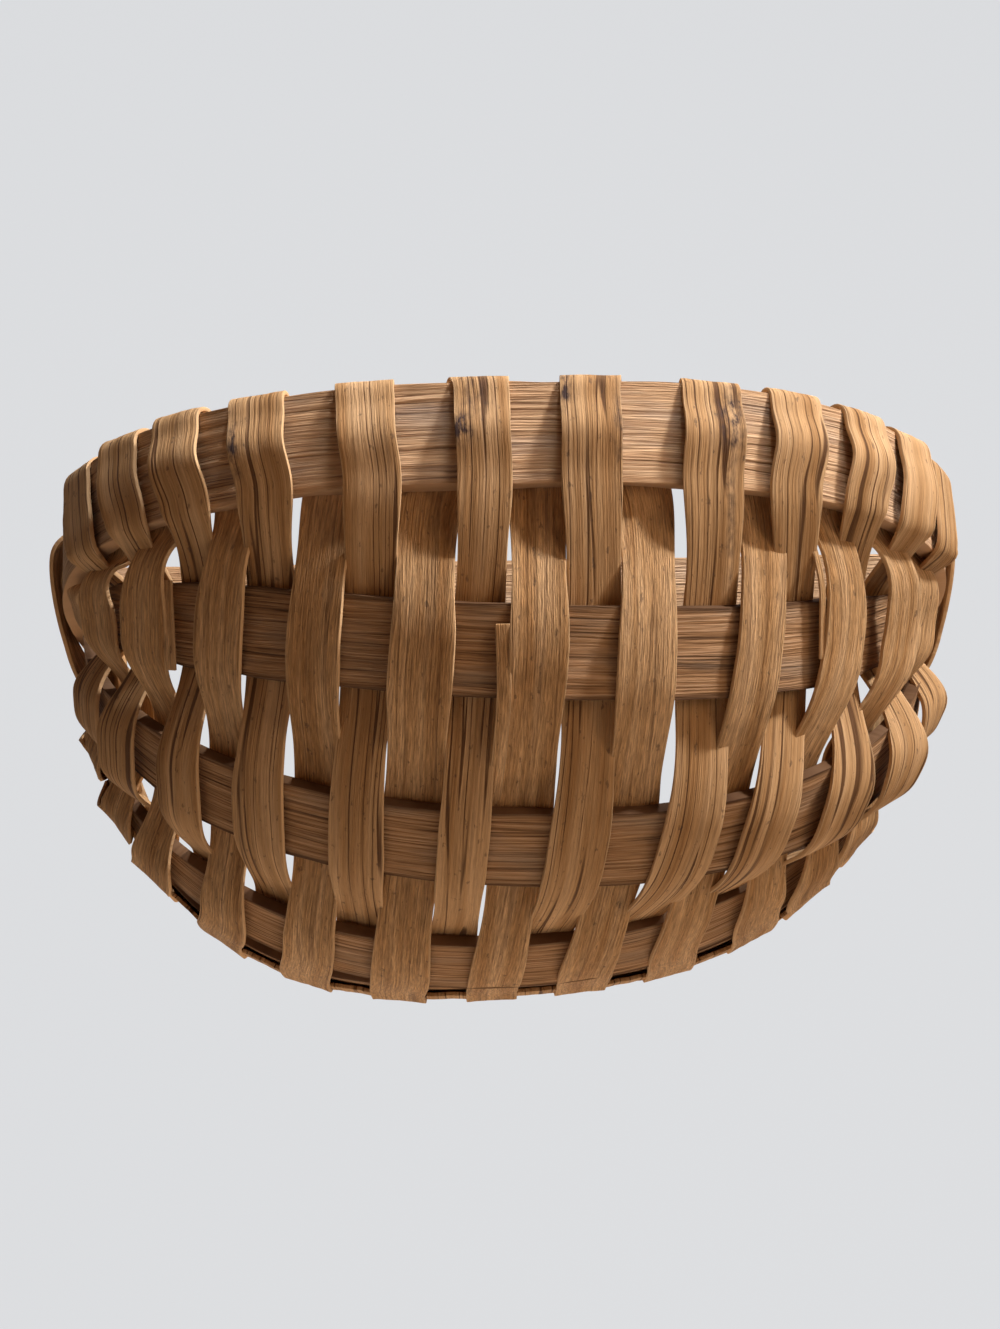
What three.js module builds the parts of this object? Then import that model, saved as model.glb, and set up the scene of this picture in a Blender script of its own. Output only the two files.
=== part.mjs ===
// A hanging wall basket of split oak: a half-melon shell of flat splints, woven over bent ribs.
// Millimetres. The wall is the plane y = 0, the basket reaches towards -Y, +Z is up, and the
// origin is the middle of the back rail's wall face.
import * as THREE from 'three';

// Fit between pieces that touch
const clearance = 0.3;

// Rim bow, the wide band around the mouth
const rimHalfWidth = 80;
const rimReach = 87;
const rimHeight = 16;
const rimThickness = 3;
const rimSquareness = 2.55;

// Back rail, the straight stave against the wall
const railThickness = 3;
const railHeight = 16;

// Back hoop, the U that edges the open back
const hoopDepth = 74;
const hoopWidth = 10;
const hoopThickness = 2.5;
const hoopSquareness = 2.6;
const hoopRise = 1.7;

// Ribs, which fan out from the two ears and end a little inside the rim's ends
const ribWidth = 14;
const ribThickness = 2;
const ribInset = 3;
const ribShift = -1.5;
const ribTipWidth = 3;
const ribTipDistance = 34;
const ribTaperDistance = 70;
const earDepth = 5.7;
const ribs = [
  { name: 'upper_rib', tilt: 23, reach: 84.1, squareness: 1.98, earHeight: 0, lean: 0.9, rise: -2.6 },
  { name: 'middle_rib', tilt: 46, reach: 81.3, squareness: 2.3, earHeight: -0.5, lean: 4.1, rise: -1.4 },
  { name: 'lower_rib', tilt: 67, reach: 75.2, squareness: 2.16, earHeight: -4.5, lean: 0.6, rise: 0.8 },
];

// Weaver splints: where the middle pass crosses each frame member, and the pitch of the passes
// on its two sides
const splintWidth = 6.6;
const earSplintWidth = 4.6;
const splintThickness = 0.9;
const splintBulge = 0.5;
const splintSlack = 0.25;
const splintRun = 1.85;
const turnRise = 1.7;
const innerDrift = 4.6;
const passCentre = { rim: 4.2, upper_rib: 4.2, middle_rib: -0.3, lower_rib: -1.4, hoop: -2.5 };
const leftPitch = { rim: 8.05, upper_rib: 8.4, middle_rib: 8.4, lower_rib: 7.9, hoop: 8.2 };
const rightPitch = { rim: 8.2, upper_rib: 8.85, middle_rib: 8.4, lower_rib: 7.7, hoop: 8.0 };
const pairsPerSide = 6;
const earPass = 2.5;
const earMargin = 26;
const drawIn = 6.5;
const innerRimLead = 3;

// Ear lashings, which bind the rim bow to the back hoop
const lashingWidth = 7;
const lashingReach = 18;
const lashingSlope = 1.6;
const lashingLap = { start: 0.6, end: 0.5 };
const lashingLean = 0.3;

// How finely the bends are cut into flat faces
const rimFaces = 56;
const hoopFaces = 48;
const ribFaces = 44;
const splintFaces = 2;
const lashingFaces = 3;
const turnFaces = 6;
const bowSamples = 400;

// Wood colours, from pale new splint to weathered frame wood
const splintColour = 0xa87c4f;
const paleSplintColour = 0xb58a5b;
const ribColour = 0x7d5c3c;
const rimColour = 0x8c6b49;
const splintRoughness = 0.75;
const frameRoughness = 0.85;

const degree = Math.PI / 180;

// A bent frame member: half a superellipse in a plane that passes through both ears
class Bow extends THREE.Curve {
  constructor({ halfWidth, reach, tilt, squareness, ear, width, thickness, lean = 0, rise = 0 }) {
    super();
    Object.assign(this, { halfWidth, reach, squareness, ear, width, thickness, lean, rise });
    this.arcLengthDivisions = bowSamples;
    this.outward = new THREE.Vector3(0, -Math.cos(tilt * degree), -Math.sin(tilt * degree));
    this.across = new THREE.Vector3(0, -Math.sin(tilt * degree), Math.cos(tilt * degree));
    this.length = this.getLength();
  }

  getPoint(t, target = new THREE.Vector3()) {
    const angle = Math.PI * t;
    const side = -Math.sign(Math.cos(angle)) * Math.abs(Math.cos(angle)) ** (2 / this.squareness);
    const depth = Math.abs(Math.sin(angle)) ** (2 / this.squareness);
    const height = this.ear.z + this.rise * 2 * side * depth;
    target.set(this.ear.x + this.halfWidth * side + this.lean * depth, this.ear.y, height);
    return target.addScaledVector(this.outward, this.reach * depth);
  }

  // The point, its outward and lengthwise directions and the width, at a distance from the bow's middle
  at(distance) {
    const u = THREE.MathUtils.clamp(0.5 + distance / this.length, 0, 1);
    const along = this.getTangentAt(THREE.MathUtils.clamp(u, 0.001, 0.999));
    const out = new THREE.Vector3().crossVectors(this.across, along).negate().normalize();
    return { point: this.getPointAt(u), out, along, width: this.widthAt(distance) };
  }

  // Ribs are shaved to a narrow tip towards the ears
  widthAt(distance) {
    if (!this.tip) return this.width;
    const fromEnd = this.length / 2 - Math.abs(distance);
    const share = (fromEnd - this.tip.distance) / (this.tip.taper - this.tip.distance);
    return THREE.MathUtils.lerp(this.tip.width, this.width, THREE.MathUtils.clamp(share, 0, 1));
  }
}

// A flat strip's path: points with the direction that the strip's face looks in, its width and, where it
// runs aslant over a member, the direction across it
class StripPath extends THREE.Curve {
  constructor(stations) {
    super();
    this.stations = stations;
  }

  getPoint(t, target = new THREE.Vector3()) {
    const place = t * (this.stations.length - 1);
    const index = Math.min(Math.floor(place), this.stations.length - 2);
    return target.lerpVectors(this.stations[index].point, this.stations[index + 1].point, place - index);
  }

  getSpacedPoints() {
    return this.stations.map((station) => station.point);
  }

  // The section's x runs through the strip's thickness and its y across the strip's width
  computeFrenetFrames() {
    const frames = { tangents: [], normals: [], binormals: [] };
    this.stations.forEach(({ out, width, across }, index) => {
      const before = this.stations[Math.max(index - 1, 0)].point;
      const after = this.stations[Math.min(index + 1, this.stations.length - 1)].point;
      const tangent = after.clone().sub(before).normalize();
      const normal = out.clone().projectOnPlane(tangent).normalize();
      frames.tangents.push(tangent);
      frames.normals.push(normal);
      const sideways = across ? across.clone().projectOnPlane(normal) : tangent.clone().cross(normal);
      frames.binormals.push(sideways.setLength(width));
    });
    return frames;
  }
}

function stripGeometry(stations, thickness) {
  const section = new THREE.Shape();
  section.moveTo(-thickness / 2, -0.5);
  section.lineTo(thickness / 2, -0.5);
  section.lineTo(thickness / 2, 0.5);
  section.lineTo(-thickness / 2, 0.5);
  section.closePath();
  const extrudePath = new StripPath(stations);
  return new THREE.ExtrudeGeometry(section, { steps: stations.length - 1, extrudePath });
}

// Rounds a hand-laid path of control stations, with a few samples in each span
function smoothStations(controls, samples, width) {
  const curve = new THREE.CatmullRomCurve3(controls.map((control) => control.point));
  const spans = controls.length - 1;
  const stations = [];
  for (let index = 0; index <= spans * samples; index += 1) {
    const span = Math.min(Math.floor(index / samples), spans - 1);
    const share = index / samples - span;
    const [from, to] = [controls[span], controls[span + 1]];
    const out = new THREE.Vector3().lerpVectors(from.out, to.out, share).normalize();
    const across = from.along && new THREE.Vector3().lerpVectors(from.along, to.along, share);
    stations.push({ point: curve.getPoint(index / (spans * samples)), out, across, width });
  }
  return stations;
}

function bowStations(bow, end, steps) {
  const distanceAt = (index) => THREE.MathUtils.lerp(-end, end, index / steps);
  return Array.from({ length: steps + 1 }, (_, index) => bow.at(distanceAt(index)));
}

// Frame members
const rim = new Bow({
  halfWidth: rimHalfWidth,
  reach: rimReach - clearance,
  tilt: 0,
  squareness: rimSquareness,
  ear: new THREE.Vector3(0, -clearance, 0),
  width: rimHeight,
  thickness: rimThickness,
});

// The hoop's upright ends stand inside the rim's ends, in front of the rail
const hoopMiddle = -railThickness - clearance - hoopWidth / 2;
const rimAtHoop = rim.at(rim.length / 2 - railThickness - hoopWidth - clearance).point.x;
const hoopHalfWidth = rimAtHoop - rimThickness / 2 - clearance - hoopThickness / 2;
const hoop = new Bow({
  halfWidth: hoopHalfWidth,
  reach: hoopDepth + rimHeight / 2,
  tilt: 90,
  squareness: hoopSquareness,
  ear: new THREE.Vector3(0, hoopMiddle, rimHeight / 2),
  width: hoopWidth,
  thickness: hoopThickness,
  rise: hoopRise,
});
const members = { rim, hoop };
const ribHalfWidth = rimHalfWidth - ribInset;
ribs.forEach((rib) => {
  const ear = new THREE.Vector3(ribShift, -earDepth, rib.earHeight);
  const size = { halfWidth: ribHalfWidth, width: ribWidth, thickness: ribThickness };
  members[rib.name] = new Bow({ ...rib, ...size, ear });
  members[rib.name].tip = { distance: ribTipDistance, taper: ribTaperDistance, width: ribTipWidth };
});

// How far a splint's middle lies from the middle of the member that it crosses
function splintOffset(member) {
  return member.thickness / 2 + clearance + splintSlack + splintThickness / 2;
}

// How far a member bends away under a flat splint's edges
function bendUnderSplint(member, distance) {
  const before = member.at(distance - splintWidth / 2).point;
  const after = member.at(distance + splintWidth / 2).point;
  return member.at(distance).point.distanceTo(before.add(after).divideScalar(2));
}

// One control station of a splint: beside a member, raised from its middle line, on a side of it
function besideMember(member, distance, height, side, face) {
  const { point, out, along } = member.at(distance);
  const place = point.addScaledVector(member.across, height);
  const bend = side < 0 ? bendUnderSplint(member, distance) : 0;
  place.addScaledVector(out, side * (splintOffset(member) + bend));
  return { point: place, out: out.clone().multiplyScalar(face), along };
}

// A splint that crosses a member, from its upper edge to its lower one, and bows out a little over it
function crossMember(member, distance, side, face) {
  const half = member.at(distance).width / 2 + splintRun;
  const middle = besideMember(member, distance, 0, side, face);
  middle.point.addScaledVector(middle.out, side * face * splintBulge);
  return [
    besideMember(member, distance, half, side, face),
    middle,
    besideMember(member, distance, -half, side, face),
  ];
}

// A splint that turns around an edge of a member, from the outside to the inside
function turnEdge(member, fromDistance, toDistance, edge) {
  const offset = splintOffset(member) + clearance;
  return Array.from({ length: turnFaces + 1 }, (_, index) => {
    const turn = (Math.PI * index) / turnFaces;
    const distance = THREE.MathUtils.lerp(fromDistance, toDistance, index / turnFaces);
    const { point, out, along } = member.at(distance);
    const face = new THREE.Vector3().addScaledVector(out, Math.cos(turn));
    face.addScaledVector(member.across, edge * Math.sin(turn));
    const height = edge * (member.width / 2 + turnRise * Math.sin(turn));
    const place = point.addScaledVector(member.across, height);
    place.addScaledVector(out, offset * Math.cos(turn));
    return { point: place, out: face, along };
  });
}

// Half a member's length, for the hoop without the ends that stand inside the rim
function freeLength(key) {
  return members[key].length / 2 - (key === 'hoop' ? rimHeight : 0);
}

// Where a pass crosses a member: evenly spaced over the shell, and the last ones drawn towards the ears
function passDistance(key, pass) {
  const pitch = pass < 0 ? leftPitch[key] : rightPitch[key];
  const share = pass / (2 * pairsPerSide + earPass);
  const end = (freeLength(key) - earMargin) * share;
  return THREE.MathUtils.lerp(passCentre[key] + pitch * pass, end, Math.abs(share) ** drawIn);
}

// Where an inner pass leaves the rim: the last ones lead towards the ears, as the ribs do there
function innerRimDistance(pass) {
  const share = pass / (2 * pairsPerSide + earPass);
  return passDistance('rim', pass) + Math.sign(pass) * innerRimLead * Math.abs(share) ** drawIn;
}

// The hoop's wall edge, which the splints turn around with the face that lies against it
function hoopTurn(place) {
  return turnEdge(hoop, place, place, -1).map((station) => ({ ...station, out: station.out.negate() }));
}

// The start of a pass that comes around the hoop's wall edge and runs along its inside
function fromHoop(place) {
  return [
    ...hoopTurn(place).slice(turnFaces / 2),
    besideMember(hoop, place, 0, -1, 1),
    besideMember(hoop, place, hoopWidth / 2 + splintRun, -1, 1),
  ];
}

// The outer pass of a pair: from the hoop, up the shell and over the rim's top edge
function outerPass(pass) {
  const rimPlace = passDistance('rim', pass);
  const controls = fromHoop(passDistance('hoop', pass));
  controls.push(...crossMember(members.lower_rib, passDistance('lower_rib', pass), -1, 1).reverse());
  controls.push(...crossMember(members.middle_rib, passDistance('middle_rib', pass), 1, 1).reverse());
  controls.push(...crossMember(members.upper_rib, passDistance('upper_rib', pass), -1, 1).reverse());
  controls.push(besideMember(rim, rimPlace, -rimHeight / 2 - splintRun, 1, 1));
  const rimMiddle = besideMember(rim, rimPlace, 0, 1, 1);
  rimMiddle.point.addScaledVector(rimMiddle.out, splintBulge);
  controls.push(rimMiddle);
  return controls;
}

// The inner pass of a pair: down inside the rim, over and under the ribs, and around the hoop
function innerPass(pass, towards) {
  const hoopPlace = passDistance('hoop', pass);
  const rimPlace = innerRimDistance(pass);
  const controls = [besideMember(rim, rimPlace + (towards * innerDrift) / 2, 0, -1, -1)];
  controls.push(besideMember(rim, rimPlace, -rimHeight / 2 - splintRun, -1, -1));
  controls.push(...crossMember(members.upper_rib, passDistance('upper_rib', pass), 1, -1));
  controls.push(...crossMember(members.middle_rib, passDistance('middle_rib', pass), -1, -1));
  controls.push(...crossMember(members.lower_rib, passDistance('lower_rib', pass), 1, -1));
  controls.push(besideMember(hoop, hoopPlace, hoopWidth / 2 + splintRun, 1, -1));
  controls.push(besideMember(hoop, hoopPlace, 0, 1, -1));
  controls.push(...hoopTurn(hoopPlace).slice(0, turnFaces / 2 + 1));
  return controls;
}

const basket = new THREE.Group();

function addPiece(name, geometry, color, roughness) {
  const material = new THREE.MeshStandardMaterial({ color, roughness, metalness: 0 });
  const piece = new THREE.Mesh(geometry, material);
  piece.name = name;
  basket.add(piece);
}

function addSplint(name, controls, color, width) {
  const stations = smoothStations(controls, splintFaces, width);
  addPiece(name, stripGeometry(stations, splintThickness), color, splintRoughness);
}

// Rim bow, back rail and back hoop
const rimStations = bowStations(rim, rim.length / 2, rimFaces);
addPiece('rim_bow', stripGeometry(rimStations, rimThickness), rimColour, frameRoughness);
const hoopStations = bowStations(hoop, hoop.length / 2, hoopFaces);
addPiece('back_hoop', stripGeometry(hoopStations, hoopThickness), ribColour, frameRoughness);
const railLength = 2 * (rimHalfWidth - rimThickness / 2 - clearance);
const rail = new THREE.BoxGeometry(railLength, railThickness, railHeight);
rail.translate(0, -railThickness / 2, 0);
addPiece('back_rail', rail, rimColour, frameRoughness);

// Ribs
ribs.forEach(({ name }) => {
  const bow = members[name];
  const stations = bowStations(bow, bow.length / 2 - ribTipDistance, ribFaces);
  addPiece(name, stripGeometry(stations, ribThickness), ribColour, frameRoughness);
});

// Weaver splints: a single middle pass, and pairs of passes that turn over the rim
addSplint('middle_weaver', innerPass(0, 0), paleSplintColour, splintWidth);
[['left', -1], ['right', 1]].forEach(([name, side]) => {
  for (let pair = 1; pair <= pairsPerSide; pair += 1) {
    const outer = side * (2 * pair - 1);
    const inner = side * 2 * pair;
    const turnFrom = passDistance('rim', outer);
    const turnTo = passDistance('rim', inner) - side * innerDrift;
    const controls = outerPass(outer);
    controls.push(...turnEdge(rim, turnFrom, turnTo, 1), ...innerPass(inner, -side));
    const width = pair < pairsPerSide ? splintWidth : earSplintWidth;
    addSplint(`${name}_weaver_${pair}`, controls, pair % 2 ? splintColour : paleSplintColour, width);
  }
});

// Ear lashings: a flat splint drawn slantwise around the rim's end and the hoop's wall edge, and
// lapped inside
function lashingControls(side) {
  const gap = clearance + splintThickness / 2;
  const hoopAt = (z) => hoop.at(hoop.length / 2 - rimHeight / 2 + z).point.x;
  const top = rimHeight / 2;
  const heightAt = (y) => top - (y + lashingReach) * lashingSlope;
  const wallEdge = hoopMiddle + hoopWidth / 2;
  const frontEdge = hoopMiddle - hoopWidth / 2 - gap;
  const turnHeight = heightAt(wallEdge);
  const rimOutside = rimHalfWidth + rimThickness / 2 + 2 * gap;
  const hoopInside = (z) => hoopAt(z - lashingWidth / 2) - hoopThickness / 2 - gap - clearance;
  const station = (x, y, z, outX, outY, outZ) => ({
    point: new THREE.Vector3(side * x, y, z),
    out: new THREE.Vector3(side * outX, outY, outZ).normalize(),
  });
  const inside = (share) => {
    const y = THREE.MathUtils.lerp(wallEdge, frontEdge, share);
    return station(hoopInside(heightAt(y)), y, heightAt(y), -1, 0, 0);
  };
  return [
    inside(lashingLap.start),
    inside(1),
    station(hoopInside(top), -lashingReach, top, -1, 0, lashingLean),
    station(rimHalfWidth - rimThickness / 2, -lashingReach - gap, top + 2 * gap, 0, 0, 1),
    station(rimOutside, -lashingReach, top, 1, 0, lashingLean),
    station(rimOutside, rimHeight / lashingSlope - lashingReach, -top, 1, 0, 0),
    station(hoopAt(turnHeight) + hoopThickness + gap, wallEdge, turnHeight, 1, lashingLean, 0),
    station(hoopAt(turnHeight), wallEdge + 2 * gap, turnHeight, 0, 1, 0),
    station(hoopInside(turnHeight), wallEdge, turnHeight, -1, lashingLean, 0),
    inside(lashingLap.end),
  ];
}

[['left', -1], ['right', 1]].forEach(([name, side]) => {
  const stations = smoothStations(lashingControls(side), lashingFaces, lashingWidth);
  addPiece(`${name}_ear_lashing`, stripGeometry(stations, splintThickness), splintColour, splintRoughness);
});

export default basket;
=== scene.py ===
import math
import bpy
import numpy as np
from mathutils import Matrix, Vector


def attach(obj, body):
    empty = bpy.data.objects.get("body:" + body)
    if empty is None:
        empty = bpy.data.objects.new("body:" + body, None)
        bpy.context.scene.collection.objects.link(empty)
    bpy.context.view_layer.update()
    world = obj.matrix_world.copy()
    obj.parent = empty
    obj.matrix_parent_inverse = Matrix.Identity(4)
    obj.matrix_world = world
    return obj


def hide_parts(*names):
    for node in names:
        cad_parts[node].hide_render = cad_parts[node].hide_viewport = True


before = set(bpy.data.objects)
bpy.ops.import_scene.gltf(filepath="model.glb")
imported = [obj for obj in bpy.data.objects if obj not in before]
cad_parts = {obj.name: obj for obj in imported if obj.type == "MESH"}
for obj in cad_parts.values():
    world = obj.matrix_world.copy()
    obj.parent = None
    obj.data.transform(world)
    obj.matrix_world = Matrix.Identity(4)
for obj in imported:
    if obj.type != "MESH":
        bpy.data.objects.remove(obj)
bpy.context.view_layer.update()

# View and light
# The basket is seen from the front and a little from below, as it hangs. It stands clear of a plain
# pale sweep, with two small lights high at the right and weak warm fills, so its left side is dark.
# The sweep and the lamps are placed in metres, and the basket's own sizes are in millimetres.
mm = 0.001
scene = bpy.context.scene
scene.view_settings.view_transform = "Standard"
image_width = 1000
focal_pixels = 1914
film_width = 36
camera_place = Vector((-5.56, -358.19, -110.18)) * mm
camera_yaw = math.radians(0.75)
camera_rise = math.radians(15.28)
camera_roll = math.radians(-1.32)
level_run = math.cos(camera_rise)
view_line = Vector((
    math.sin(camera_yaw) * level_run, math.cos(camera_yaw) * level_run, math.sin(camera_rise)))
level_right = Vector((math.cos(camera_yaw), -math.sin(camera_yaw), 0))
level_up = level_right.cross(view_line)
camera_right = level_right * math.cos(camera_roll) + level_up * math.sin(camera_roll)
camera_up = level_up * math.cos(camera_roll) - level_right * math.sin(camera_roll)
camera_data = bpy.data.cameras.new("front_camera")
camera_data.sensor_fit = "HORIZONTAL"
camera_data.sensor_width = film_width
camera_data.lens = film_width * focal_pixels / image_width
camera = bpy.data.objects.new("front_camera", camera_data)
camera_turn = Matrix((camera_right, camera_up, -view_line)).transposed()
camera.matrix_world = Matrix.Translation(camera_place) @ camera_turn.to_4x4()
scene.collection.objects.link(camera)
scene.camera = camera


def linear(colour):
    """An sRGB hex colour as linear red, green, blue and alpha."""
    parts = [int(colour[place:place + 2], 16) / 255 for place in (0, 2, 4)]
    return [part / 12.92 if part <= 0.04045 else ((part + 0.055) / 1.055) ** 2.4 for part in parts] + [1]


def add_node(material, kind, settings=None, inputs=None):
    """Adds a node, with its settings, and with each input given a value or linked to an output."""
    tree = material.node_tree
    node = tree.nodes.new(kind)
    for setting, value in (settings or {}).items():
        setattr(node, setting, value)
    for name, value in (inputs or {}).items():
        if isinstance(value, bpy.types.NodeSocket):
            tree.links.new(value, node.inputs[name])
        else:
            node.inputs[name].default_value = value
    return node


def pale_share(material, most):
    """The share of its even colour that the background shows, straight, mirrored or through glass."""
    ray = add_node(material, "ShaderNodeLightPath")
    mirrored = add_node(material, "ShaderNodeMath", {"operation": "ADD"}, {
        0: ray.outputs["Is Camera Ray"], 1: ray.outputs["Is Glossy Ray"]})
    shown = add_node(material, "ShaderNodeMath", {"operation": "ADD", "use_clamp": True}, {
        0: mirrored.outputs[0], 1: ray.outputs["Is Transmission Ray"]})
    share = add_node(material, "ShaderNodeMath", {"operation": "MULTIPLY"}, {
        0: shown.outputs[0], 1: most})
    return share.outputs[0]


floor_height = -0.42
wall_distance = 0.95
sweep_reach = 2.4
sweep_height = 2.6
sweep_bend = 0.5
sweep_middle = (0, wall_distance - sweep_reach, floor_height)
bpy.ops.object.select_all(action="DESELECT")
bpy.ops.mesh.primitive_plane_add(size=2 * sweep_reach, location=sweep_middle)
sweep = bpy.context.object
sweep.name = "pale_sweep"
bpy.ops.object.transform_apply(location=True, rotation=True, scale=True)
bpy.ops.object.mode_set(mode="EDIT")
bpy.ops.mesh.select_mode(type="EDGE")
bpy.ops.mesh.select_all(action="DESELECT")
bpy.ops.object.mode_set(mode="OBJECT")
for edge in sweep.data.edges:
    edge.select = all(sweep.data.vertices[end].co.y > wall_distance - mm for end in edge.vertices)
bpy.ops.object.mode_set(mode="EDIT")
bpy.ops.mesh.extrude_region_move(TRANSFORM_OT_translate={"value": (0, 0, sweep_height)})
bpy.ops.mesh.select_all(action="DESELECT")
bpy.ops.object.mode_set(mode="OBJECT")
for edge in sweep.data.edges:
    ends = [sweep.data.vertices[end].co for end in edge.vertices]
    edge.select = all(end.y > wall_distance - mm and end.z < floor_height + mm for end in ends)
bpy.ops.object.mode_set(mode="EDIT")
bpy.ops.mesh.bevel(offset=sweep_bend, segments=16)
bpy.ops.object.mode_set(mode="OBJECT")
bpy.ops.object.shade_smooth()
sweep_paint = bpy.data.materials.new("matt_pale_paint")
sweep_paint.use_nodes = True
sweep_paint.node_tree.nodes.clear()
paint_colour = linear("dfe1e4")
even_share = 0.88
lit_paint = add_node(sweep_paint, "ShaderNodeBsdfDiffuse", None, {"Color": linear("b4aca2")})
even_paint = add_node(sweep_paint, "ShaderNodeEmission", None, {
    "Color": paint_colour, "Strength": 1.06})
paint_mix = add_node(sweep_paint, "ShaderNodeMixShader", None, {
    0: pale_share(sweep_paint, even_share), 1: lit_paint.outputs[0], 2: even_paint.outputs[0]})
add_node(sweep_paint, "ShaderNodeOutputMaterial", None, {"Surface": paint_mix.outputs[0]})
sweep.data.materials.append(sweep_paint)

room = bpy.data.worlds.new("pale_room")
scene.world = room
room.use_nodes = True
room.node_tree.nodes.clear()
warm_glow = add_node(room, "ShaderNodeBackground", None, {
    "Color": linear("e0904e"), "Strength": 0.05})
pale_glow = add_node(room, "ShaderNodeBackground", None, {
    "Color": paint_colour, "Strength": 0.95})
room_mix = add_node(room, "ShaderNodeMixShader", None, {
    0: pale_share(room, 1.0), 1: warm_glow.outputs[0], 2: pale_glow.outputs[0]})
add_node(room, "ShaderNodeOutputWorld", None, {"Surface": room_mix.outputs[0]})
lamp_aim = Vector((0, -45, -25)) * mm


def add_lamp(name, azimuth, elevation, distance, size, power, colour):
    """A square lamp aimed at the basket, placed by its bearing to the right of the front."""
    bearing = math.radians(azimuth)
    height = math.radians(elevation)
    level = math.cos(height)
    towards = Vector((math.sin(bearing) * level, -math.cos(bearing) * level, math.sin(height)))
    data = bpy.data.lights.new(name, "AREA")
    data.size = size
    data.energy = power
    data.color = linear(colour)[:3]
    lamp = bpy.data.objects.new(name, data)
    lamp.location = lamp_aim + towards * distance
    lamp.rotation_euler = towards.to_track_quat("Z", "Y").to_euler()
    lamp.visible_camera = False
    scene.collection.objects.link(lamp)


add_lamp("key_lamp", azimuth=58, elevation=42, distance=0.75, size=0.09, power=8, colour="f8faff")
add_lamp("high_lamp", azimuth=30, elevation=74, distance=0.75, size=0.12, power=5, colour="f6faff")
add_lamp("side_lamp", azimuth=46, elevation=8, distance=1.2, size=0.5, power=3.6, colour="ffe2c4")
add_lamp("warm_lamp", azimuth=-5, elevation=-15, distance=1.2, size=0.7, power=1.0, colour="ffb070")
add_lamp("low_lamp", azimuth=180, elevation=-60, distance=0.4, size=0.3, power=0.7, colour="ffdcb8")

# Rim bow
# One wide split of white oak, steamed and bent around the mouth of the basket. It was riven along
# the grain, so its face is torn into long wavy ridges, and age has greyed it in patches.
rim_half_width = 80
rim_reach = 87
rim_height = 16
rim_thickness = 3
rim_squareness = 2.55
rim_flare = math.radians(2)
fit = 0.3
stave_step = 0.9


def bend_stave(half_width, reach, tilt, squareness, ear, lean=0, rise=0):
    """A stave bent to half a superellipse through both ears: its points by distance from its middle."""
    angle = np.linspace(0, math.pi, 3001)
    side = -np.sign(np.cos(angle)) * np.abs(np.cos(angle)) ** (2 / squareness)
    depth = np.abs(np.sin(angle)) ** (2 / squareness)
    slope = math.radians(tilt)
    outward = np.array([0, -math.cos(slope), -math.sin(slope)])
    points = np.outer(reach * depth, outward)
    points[:, 0] += ear[0] + half_width * side + lean * depth
    points[:, 1] += ear[1]
    points[:, 2] += ear[2] + rise * 2 * side * depth
    steps = np.linalg.norm(np.diff(points, axis=0), axis=1)
    run = np.concatenate([[0], np.cumsum(steps)])
    across = np.array([0, -math.sin(slope), math.cos(slope)])
    return {"points": points, "run": run - run[-1] / 2, "half": run[-1] / 2, "across": across}


def between(wanted, places, rows):
    """Rows of three numbers, known at some places, read at the wanted ones by straight steps between."""
    return np.stack([np.interp(wanted, places, rows[:, axis]) for axis in range(3)], 1)


def on_stave(stave, distance):
    """The middle line's point, the outward and the lengthwise direction at a distance along a stave."""
    distance = np.atleast_1d(np.asarray(distance, float))
    nudge = 0.4
    limit = stave["half"] - 1.1 * nudge

    def place(where):
        return between(where, stave["run"], stave["points"])

    inner = np.clip(distance, -limit, limit)
    along = place(inner + nudge) - place(inner - nudge)
    along /= np.linalg.norm(along, axis=1)[:, None]
    out = np.cross(along, stave["across"])
    out /= np.linalg.norm(out, axis=1)[:, None]
    return place(distance), out, along


def wood_noise(along, across, seed):
    """Smooth noise between -1 and 1, one swell to each unit of its two coordinates."""
    cells = 64
    lattice = np.random.default_rng(seed).uniform(-1, 1, (cells, cells))
    column = np.floor(along).astype(int)
    row = np.floor(across).astype(int)
    right = along - column
    over = across - row
    right = right * right * (3 - 2 * right)
    over = over * over * (3 - 2 * over)
    first = column % cells
    second = (column + 1) % cells
    low_row = row % cells
    high_row = (row + 1) % cells
    low = lattice[first, low_row] * (1 - right) + lattice[second, low_row] * right
    high = lattice[first, high_row] * (1 - right) + lattice[second, high_row] * right
    return low * (1 - over) + high * over


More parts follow.
